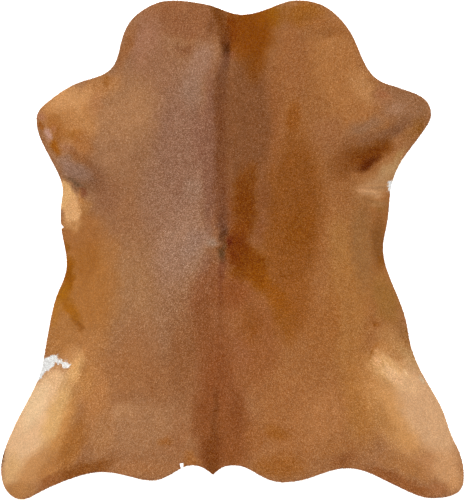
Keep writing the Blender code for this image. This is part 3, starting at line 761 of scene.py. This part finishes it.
def waves(x, y, pitch, seed):
    """Smooth noise between about -1 and 1 at arrays of places: a sum of waves of about that pitch."""
    rng = np.random.default_rng(seed)
    turns = rng.uniform(0, math.tau, WAVES)
    phases = rng.uniform(0, math.tau, WAVES)
    pitches = pitch * rng.uniform(*WAVE_RANGE, WAVES)
    total = np.zeros_like(x)
    for turn, phase, length in zip(turns, phases, pitches):
        total += np.sin((x * math.cos(turn) + y * math.sin(turn)) * math.tau / length + phase)
    return total / math.sqrt(WAVES)


def rippled(values, x, y, ripples):
    """Values at arrays of places, with smooth noise added to them."""
    for ripple in ripples:
        values = values + ripple.strength * waves(x, y, ripple.pitch, ripple.seed)
    return values


def faded(distance, core):
    """A smooth fade by distance, where the rim is at 1: full in the core and nothing from the rim on."""
    inside = np.clip((1 - distance) / (1 - core), 0, 1)
    return inside * inside * (3 - 2 * inside)


def soft_oval(x, y, zone):
    """How far inside a zone's oval each of the places is: 1 in its core, and 0 from its edge on."""
    way = direction(zone.heading)
    along = ((x - zone.x) * way.x + (y - zone.y) * way.y) / zone.along
    across = ((y - zone.y) * way.x - (x - zone.x) * way.y) / zone.across
    return faded(np.hypot(along, across), zone.core)


def painted(colours, x, y, zone):
    """The colours so far at arrays of places, with one soft oval zone painted over them."""
    mask = zone.strength * soft_oval(x, y, zone)
    return colours + mask[:, None] * (red_green_blue(zone.colour) - colours)


def parted(colours, x, y):
    """The colours so far with the dark parting down the spine painted over them."""
    steps = PARTING[::-1]
    at = [step.y for step in steps]
    middle = np.interp(y, at, [step.x for step in steps])
    half = np.interp(y, at, [step.half for step in steps])
    strength = np.interp(y, at, [step.strength for step in steps])
    mask = strength * faded(np.abs(x - middle) / half, PARTING_CORE)
    shades = np.array([red_green_blue(step.colour) for step in steps])
    dark = np.stack([np.interp(y, at, shades[:, k]) for k in range(3)], axis=1)
    return colours + mask[:, None] * (dark - colours)


def coat_and_light_colours(x, y):
    """The coat's colour at arrays of places, in sRGB: soft zones with wandering borders, a little mottling,
    and then the marks at the edges. Some zones, and the parting in part, are painted sheen, shade and
    highlights."""
    soft_x = rippled(x, x, y, ZONE_WANDER_X)
    soft_y = rippled(y, x, y, ZONE_WANDER_Y)
    colours = np.tile(red_green_blue(COAT_COLOUR), (x.size, 1))
    for zone in COAT_AND_LIGHT_ZONES:
        colours = painted(colours, soft_x, soft_y, zone)
    colours = parted(colours, soft_x, soft_y)
    colours *= rippled(1, x, y, MOTTLING)[:, None]
    colours -= np.array(WHITE_BALANCE) / 255
    firm_x = rippled(x, x, y, MARK_WANDER_X)
    firm_y = rippled(y, x, y, MARK_WANDER_Y)
    for mark in MARKS:
        colours = painted(colours, firm_x, firm_y, mark)
    return colours


def new_material(name, **inputs):
    """A material with its Principled shader's fixed values set."""
    material = bpy.data.materials.new(name)
    material.use_nodes = True
    shader = material.node_tree.nodes["Principled BSDF"]
    for key, value in inputs.items():
        shader.inputs[key.replace("_", " ")].default_value = value
    return material, material.node_tree, shader


def coat_and_light_colour(tree):
    """The coat's colour, with its painted sheen, shade and highlights, that a piece's points carry."""
    return node(tree, "ShaderNodeAttribute", attribute_name="coat_and_light_colour").outputs["Color"]


def scaled(tree, colour, factor):
    """A colour made lighter or darker by a factor from another node."""
    return node(tree, "ShaderNodeVectorMath", {0: colour, "Scale": factor}, operation="SCALE").outputs[0]


def calf_hair():
    """Short smooth calf hair: each hair has its own colour, painted a little darker at the root as shade
    under its neighbours and lighter at the tip as light caught there, and a soft keratin gloss."""
    material, tree, shader = new_material(
        "calf_hair", Roughness=0.6, IOR=1.55, Specular_IOR_Level=0.08, Specular_Tint=linear(GLOSS_COLOUR)
    )
    along = node(tree, "ShaderNodeAttribute", attribute_name="hair_along")
    # Painted shade towards each hair's root and painted light towards its tip
    root_shade_tip_light = node(tree, "ShaderNodeMapRange", {"Value": along.outputs["Fac"], "To Min": 0.82, "To Max": 1.1})
    tree.links.new(scaled(tree, coat_and_light_colour(tree), root_shade_tip_light.outputs[0]), shader.inputs["Base Color"])
    return material


def hair_bed():
    """The grain side of the skin between the roots, shaded by the hair over it. Its pores are drawn coarser
    than real ones, so that they show."""
    material, tree, shader = new_material("hair_bed", Roughness=0.8, IOR=1.5, Specular_IOR_Level=0.2)
    place = node(tree, "ShaderNodeTexCoord").outputs["Object"]
    pore_pitch = 1.5 * MM
    pores = node(tree, "ShaderNodeTexNoise", {"Vector": place, "Scale": 1 / pore_pitch, "Detail": 3})
    shade = node(tree, "ShaderNodeMapRange", {"Value": pores.outputs["Fac"], "To Min": 0.65, "To Max": 0.95})
    tree.links.new(scaled(tree, coat_and_light_colour(tree), shade.outputs[0]), shader.inputs["Base Color"])
    return material


def split_suede(name, colour, dark, nap):
    """Chrome-tanned suede: the fibrous flesh side, pale and quite matt, with cloudy buffing. The nap is how
    far apart its fibres are."""
    cloud_pitch = 60 * MM
    fibre_share = 0.45
    nap_depth = 0.3 * MM
    material, tree, shader = new_material(
        name, Roughness=0.95, IOR=1.45, Sheen_Weight=0.3, Sheen_Roughness=0.6
    )
    place = node(tree, "ShaderNodeTexCoord").outputs["Object"]
    clouds = node(tree, "ShaderNodeTexNoise", {"Vector": place, "Scale": 1 / cloud_pitch, "Detail": 6})
    fibres = node(tree, "ShaderNodeTexNoise", {"Vector": place, "Scale": 1 / (nap * MM), "Detail": 4})
    grain = fibres.outputs["Fac"]
    both = node(tree, "ShaderNodeMix", {0: fibre_share, 2: clouds.outputs["Fac"], 3: grain})
    cloudy = node(tree, "ShaderNodeMapRange", {"Value": both.outputs[0], "From Min": 0.3, "From Max": 0.7})
    shades = {0: cloudy.outputs[0], 6: linear(dark), 7: linear(colour)}
    tint = node(tree, "ShaderNodeMix", shades, data_type="RGBA")
    bump = node(tree, "ShaderNodeBump", {"Height": grain, "Distance": nap_depth, "Strength": 0.6})
    tree.links.new(tint.outputs[2], shader.inputs["Base Color"])
    tree.links.new(bump.outputs["Normal"], shader.inputs["Normal"])
    return material


def hide_skin(bm):
    """The tanned skin: hair bed above, suede below and a cut edge, with its folds and its nicks."""
    x, y = np.array([vert.co[:2] for vert in bm.verts]).T
    for vert, height in zip(bm.verts, lift(x, y)):
        vert.co = vert.co.x * MM, vert.co.y * MM, height * MM
    made = bmesh.ops.extrude_face_region(bm, geom=list(bm.faces))["geom"]
    tops = [item for item in made if isinstance(item, bmesh.types.BMVert)]
    bmesh.ops.translate(bm, verts=tops, vec=(0, 0, SKIN * MM))
    bmesh.ops.recalc_face_normals(bm, faces=bm.faces)
    for face in bm.faces:
        face.smooth = abs(face.normal.z) > EDGE_RISE
        if face.smooth:
            face.material_index = HAIR_SIDE if face.normal.z > 0 else FLESH_SIDE
        else:
            face.material_index = CUT_EDGE
    skin = new_piece("hide_skin", bm)
    skin.data.materials.append(hair_bed())
    skin.data.materials.append(split_suede("suede_flesh_side", "#c3a888", "#9d8060", nap=0.9))
    skin.data.materials.append(split_suede("cut_leather_edge", "#8f6a49", "#6e4c32", nap=0.6))
    for nick in NICKS:
        wedge = cutter(nick)
        cut = skin.modifiers.new(nick.name, "BOOLEAN")
        cut.operation = "DIFFERENCE"
        cut.object = wedge
        with bpy.context.temp_override(object=skin):
            bpy.ops.object.modifier_apply(modifier=nick.name)
        bpy.data.objects.remove(wedge)
    points = np.empty(len(skin.data.vertices) * 3)
    skin.data.vertices.foreach_get("co", points)
    x, y = points.reshape(-1, 3)[:, :2].T / MM
    carry_colours(skin.data, coat_and_light_colours(x, y))
    return skin


def carry_colours(mesh, colours):
    """Gives a mesh's points their sRGB colours to carry, as linear ones."""
    carried = mesh.attributes.new("coat_and_light_colour", "FLOAT_COLOR", "POINT")
    carried.data.foreach_set("color", linear(colours).ravel())


def lay_heading(x, y):
    """The way the hair lies at arrays of places, in radians, blended between the table's places. Far from
    them all it lies backwards."""
    along_x = np.zeros_like(x)
    along_y = np.full_like(x, -TINY)
    for lay in LAYS:
        weight = np.exp(-((x - lay.x) ** 2 + (y - lay.y) ** 2) / lay.reach**2)
        way = direction(lay.heading)
        along_x += weight * way.x
        along_y += weight * way.y
    return np.arctan2(along_y, along_x)


def in_nick(x, y):
    """Which of the places lie in a nick or within its margin."""
    found = np.zeros(x.shape, bool)
    for nick in NICKS:
        inwards = direction(nick.heading)
        deep = (x - nick.x) * inwards.x + (y - nick.y) * inwards.y
        aside = np.abs((x - nick.x) * inwards.y - (y - nick.y) * inwards.x)
        half = (nick.mouth + (nick.end - nick.mouth) * deep / nick.depth) / 2
        found |= (deep < nick.depth + NICK_MARGIN) & (aside < half + NICK_MARGIN)
    return found


def scatter_roots(net, rng):
    """Places of hair roots, spread evenly over the net, with where each is in the net, counted in squares,
    and the two sides of its square."""
    corner = net[:-1, :-1]
    over = net[1:, :-1]
    up = net[:-1, 1:]
    far = net[1:, 1:]
    one = far - corner
    other = up - over
    areas = np.abs(one[..., 0] * other[..., 1] - one[..., 1] * other[..., 0]).ravel() / 2
    cells = rng.choice(areas.size, size=HAIRS, p=areas / areas.sum())
    i, j = np.divmod(cells, SQUARES)
    u = rng.random(HAIRS)
    v = rng.random(HAIRS)
    s, t = u[:, None], v[:, None]
    near_row = corner[i, j] * (1 - s) * (1 - t) + over[i, j] * s * (1 - t)
    places = near_row + up[i, j] * (1 - s) * t + far[i, j] * s * t
    across = (over - corner + far - up)[i, j] / 2
    upwards = (up - corner + far - over)[i, j] / 2
    return places, i + u, j + v, across, upwards


def share_inside(step, i, j, across, upwards):
    """How much of each hair's step keeps it within the outline and its overhang, from 0 to 1."""
    turn = across[:, 0] * upwards[:, 1] - across[:, 1] * upwards[:, 0]
    over = (step[:, 0] * upwards[:, 1] - step[:, 1] * upwards[:, 0]) / turn
    up = (across[:, 0] * step[:, 1] - across[:, 1] * step[:, 0]) / turn
    share = np.ones(len(step))
    for start, move, side in ((i, over, across), (j, up, upwards)):
        spare = HAIR_OVERHANG / np.linalg.norm(side, axis=1)
        room = np.where(move > 0, SQUARES + spare - start, start + spare)
        share = np.minimum(share, room / np.maximum(np.abs(move), TINY))
    return np.clip(share, LEAST_SHARE, 1)


def locks(x, y, heading, rng):
    """The tip of the lock that each hair leans into."""
    size = math.ceil(LOCK_FIELD / LOCK_PITCH)
    middle = rng.random((size, size, 2))
    turns = rng.normal(0, LOCK_TURN, (size, size))
    cell_x = np.floor((x + LOCK_FIELD / 2) / LOCK_PITCH).astype(int)
    cell_y = np.floor((y + LOCK_FIELD / 2) / LOCK_PITCH).astype(int)
    best = np.full(x.shape, np.inf)
    near = np.zeros((x.size, 2))
    turn = np.zeros_like(x)
    for step_x in (-1, 0, 1):
        for step_y in (-1, 0, 1):
            i, j = cell_x + step_x, cell_y + step_y
            centre = (np.stack([i, j], axis=1) + middle[i, j]) * LOCK_PITCH - LOCK_FIELD / 2
            gap = np.hypot(centre[:, 0] - x, centre[:, 1] - y)
            closer = gap < best
            best = np.where(closer, gap, best)
            near[closer] = centre[closer]
            turn = np.where(closer, turns[i, j], turn)
    way = heading + turn
    return near + HAIR_LENGTH * np.stack([np.cos(way), np.sin(way)], axis=1)


def coat(net, material):
    """The hair: short tapered blades that lie along the coat, lean into small locks and overlap."""
    rng = np.random.default_rng(SEED)
    roots, i, j, across, upwards = scatter_roots(net, rng)
    x, y = roots.T
    heading = rippled(lay_heading(x, y), x, y, LAY_WANDER)
    contrast = np.ones(HAIRS)
    for grain in GRAINS:
        contrast += soft_oval(x, y, grain) * (grain.contrast - contrast)
    own = heading + rng.normal(0, STRAY, HAIRS)
    length = HAIR_LENGTH * rng.uniform(*LENGTH_RANGE, HAIRS)
    own_tips = roots + length[:, None] * np.stack([np.cos(own), np.sin(own)], axis=1)
    step = own_tips * (1 - LOCK_PULL) + locks(x, y, heading, rng) * LOCK_PULL - roots
    step *= share_inside(step, i, j, across, upwards)[:, None]
    reach = np.linalg.norm(step, axis=1)
    way = step / reach[:, None]
    aside = np.stack([-way[:, 1], way[:, 0]], axis=1)
    bow = rng.normal(0, BOW, HAIRS) * reach
    middles = roots + step * HAIR_WIDEST + aside * bow[:, None]
    tips = roots + step
    kept = ~(in_nick(x, y) | in_nick(*middles.T) | in_nick(*tips.T))
    roll = rng.normal(0, ROLL, HAIRS) * contrast
    half = HAIR_WIDTH / 2 * rng.uniform(*WIDTH_RANGE, HAIRS)
    sideways = np.concatenate([aside * np.cos(roll)[:, None], np.sin(roll)[:, None]], axis=1) * half[:, None]
    raised = rng.uniform(*MIDDLE_RISE, HAIRS)
    rises = np.full(HAIRS, -ROOT_SINK), raised, raised + rng.uniform(*TIP_RISE, HAIRS)
    stops = zip((roots, middles, tips), rises)
    root, middle, tip = (np.column_stack([place, lift(*place.T) + SKIN + rise]) for place, rise in stops)
    corners = np.stack([root, middle - sideways, tip, middle + sideways], axis=1)
    tones = (DARKEST + (PALEST - DARKEST) * rng.random((HAIRS, 3)) ** TONE_SKEW) * contrast[:, None]
    bands = tones[:, (0, 1, 2, 1), None] * np.array(HAIR_CONTRAST) / 255
    colours = coat_and_light_colours(x, y)[:, None] + bands
    order = np.argsort(y)
    order = order[kept[order]]
    made = []
    for name, rows in zip(HAIR_PIECES, np.array_split(order, len(HAIR_PIECES))):
        made.append(hair_piece(name, corners[rows] * MM, colours[rows], material))
    return made


def hair_piece(name, corners, colours, material):
    """One joined mesh of hairs, each a slim kite of two faces, with what the material reads."""
    count = len(corners)
    faces = np.array([(0, 3, 1), (1, 3, 2)])
    mesh = bpy.data.meshes.new(name)
    mesh.vertices.add(count * 4)
    mesh.vertices.foreach_set("co", corners.ravel())
    loops = (np.arange(count)[:, None, None] * 4 + faces).ravel()
    mesh.loops.add(loops.size)
    mesh.loops.foreach_set("vertex_index", loops)
    mesh.polygons.add(count * 2)
    mesh.polygons.foreach_set("loop_start", np.arange(0, loops.size, 3))
    mesh.update(calc_edges=True)
    carry_colours(mesh, colours.reshape(-1, 3))
    along = np.tile([0.0, HAIR_WIDEST, 1.0, HAIR_WIDEST], count)
    mesh.attributes.new("hair_along", "FLOAT", "POINT").data.foreach_set("value", along)
    mesh.materials.append(material)
    made = bpy.data.objects.new(name, mesh)
    bpy.context.scene.collection.objects.link(made)
    return made


def opal_light_table():
    """Opal acrylic with a matt face, lit from within, so that it looks evenly white and takes no shadow."""
    material, _, shader = new_material(
        "opal_light_table", Roughness=0.9, IOR=1.45, Base_Color=linear(FLOOR_COLOUR), Emission_Strength=0.6
    )
    shader.inputs["Emission Color"].default_value = WHITE
    return material


def studio_floor():
    """A plain white floor under everything."""
    bm = bmesh.new()
    bmesh.ops.create_grid(bm, x_segments=1, y_segments=1, size=FLOOR_REACH)
    bmesh.ops.translate(bm, verts=bm.verts, vec=(0, 0, -FLOOR_DROP))
    floor = new_piece("studio_floor", bm)
    floor.data.materials.append(opal_light_table())


def softbox(name, place, size, watts):
    """A square softbox that faces the hide's middle."""
    light = bpy.data.lights.new(name, "AREA")
    light.shape = "SQUARE"
    light.size = size
    light.energy = watts
    lamp = bpy.data.objects.new(name, light)
    lamp.location = place
    lamp.rotation_euler = (-Vector(place)).to_track_quat("-Z", "Y").to_euler()
    bpy.context.scene.collection.objects.link(lamp)


def studio_light():
    """A large soft key from beyond the neck, a little to the left, and an even white surround."""
    softbox("key_softbox", KEY_PLACE, KEY_SIZE, KEY_WATTS)
    world = bpy.data.worlds.new("white_surround")
    world.use_nodes = True
    background = world.node_tree.nodes["Background"]
    background.inputs["Color"].default_value = WHITE
    background.inputs["Strength"].default_value = SURROUND_STRENGTH
    bpy.context.scene.world = world


def overhead_camera():
    """A long lens straight above, whose frame is the photograph's."""
    lens = bpy.data.cameras.new("overhead_camera")
    lens.sensor_width = SENSOR
    lens.lens = SENSOR * CAMERA_HEIGHT / (VIEW_LENGTH * MM)
    lens.clip_end = 50
    camera = bpy.data.objects.new("overhead_camera", lens)
    camera.location = (VIEW_MIDDLE[0] * MM, VIEW_MIDDLE[1] * MM, CAMERA_HEIGHT)
    bpy.context.scene.collection.objects.link(camera)
    bpy.context.scene.camera = camera


def main():
    overhead_camera()
    studio_light()
    studio_floor()
    bm, net = fitted_net()
    skin = hide_skin(bm)
    hairs = coat(net, calf_hair())
    for piece in [skin, *hairs]:
        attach(piece, "root")
        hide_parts("hide")
    bpy.context.scene.view_settings.view_transform = "Standard"


main()
